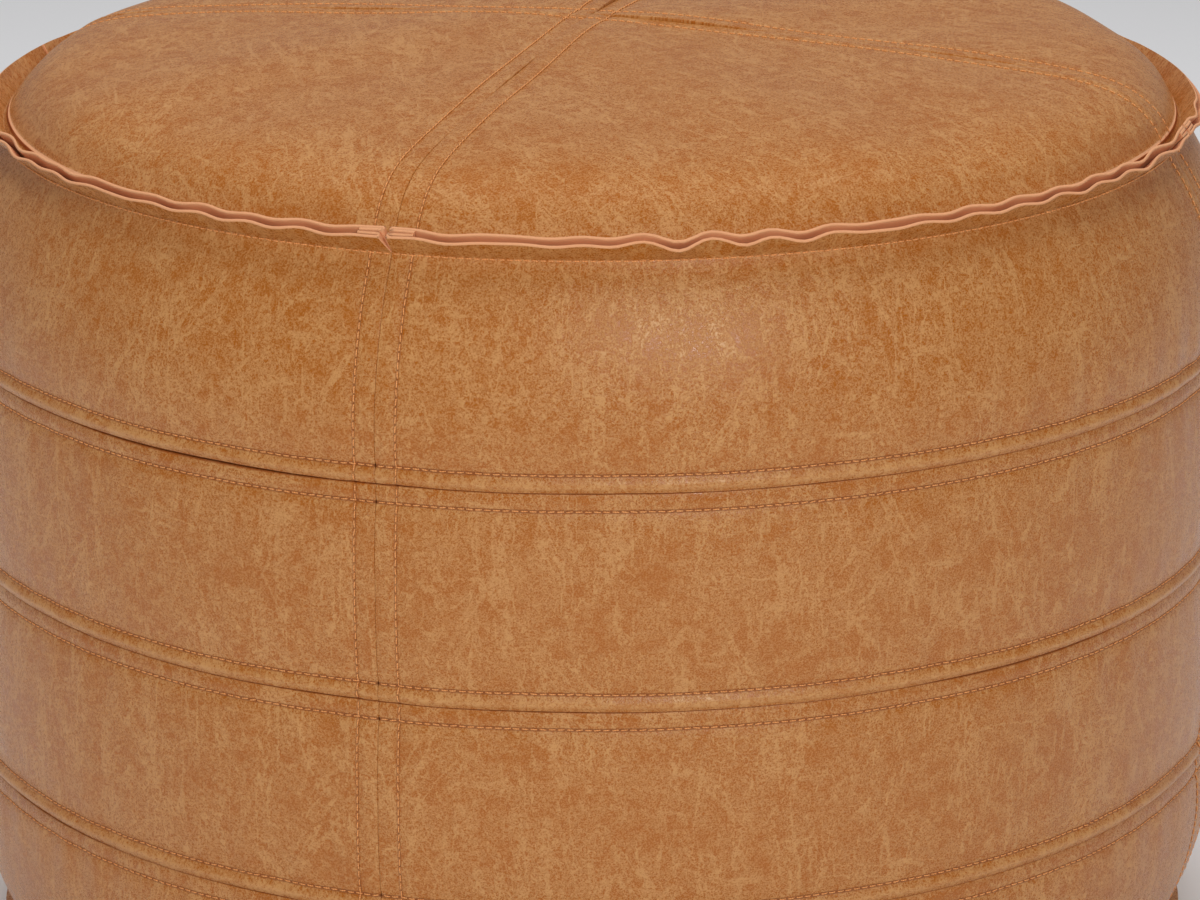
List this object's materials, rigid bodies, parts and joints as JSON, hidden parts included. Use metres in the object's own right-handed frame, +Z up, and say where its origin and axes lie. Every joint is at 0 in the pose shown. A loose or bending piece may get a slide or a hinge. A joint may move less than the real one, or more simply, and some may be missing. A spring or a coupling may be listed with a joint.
{
  "type": "leather pouf",
  "caption": "Round leather pouf with a crowned quartered top, stacked bands, raw-edge flanged rim seams, topstitched seams, a zipped base, a liner bag and soft filling.",
  "frame": {"origin": "centre of the base, at the height of the floor it stands on", "axes": "+Z up through the centre of the top; X and Y run through the column seams, and the zip lies along X"},
  "size_m": [0.51, 0.51, 0.3692],
  "materials": {
    "leather": "tan distressed leather, satin wax finish with pale creases",
    "thread": "twisted polyester thread",
    "zip_tape": "woven tape",
    "brass": "aged satin",
    "liner_cloth": "plain woven cotton",
    "filling": "loose stuffing"
  },
  "bodies": {
    "cover": {"top_panel_front_right": "leather", "top_panel_back_right": "leather", "top_panel_back_left": "leather", "top_panel_front_left": "leather", "band_1_front_right": "leather", "band_1_back_right": "leather", "band_1_back_left": "leather", "band_1_front_left": "leather", "band_2_front_right": "leather", "band_2_back_right": "leather", "band_2_back_left": "leather", "band_2_front_left": "leather", "band_3_front_right": "leather", "band_3_back_right": "leather", "band_3_back_left": "leather", "band_3_front_left": "leather", "band_4_front_right": "leather", "band_4_back_right": "leather", "band_4_back_left": "leather", "band_4_front_left": "leather", "base_panel_front": "leather", "base_panel_back": "leather", "top_seam_thread_x": "thread", "top_seam_thread_y": "thread", "top_rim_thread": "thread", "base_rim_thread": "thread", "band_seam_thread_1": "thread", "band_seam_thread_2": "thread", "band_seam_thread_3": "thread", "column_seam_thread": "thread", "zip_stitching": "thread", "zip_tape_front": "zip_tape", "zip_tape_back": "zip_tape", "zip_teeth_front": "brass", "zip_teeth_back": "brass", "zip_top_stops": "brass", "zip_bottom_stop": "brass", "liner_top": "liner_cloth", "liner_wall": "liner_cloth", "liner_base": "liner_cloth", "filling": "filling"},
    "slider": {"zip_slider": "brass"},
    "pull_tab": {"zip_pull": "brass"}
  },
  "joints": [
    {"name": "zip_slide", "type": "slide", "parent": "cover", "child": "slider", "axis": [-1, 0, 0], "range_m": [0, 0.226]},
    {"name": "pull_tab_swing", "type": "hinge", "parent": "slider", "child": "pull_tab", "pos_m": [0.113, 0, 0.007], "axis": [0, -1, 0], "range_deg": [0, 175]}
  ]
}
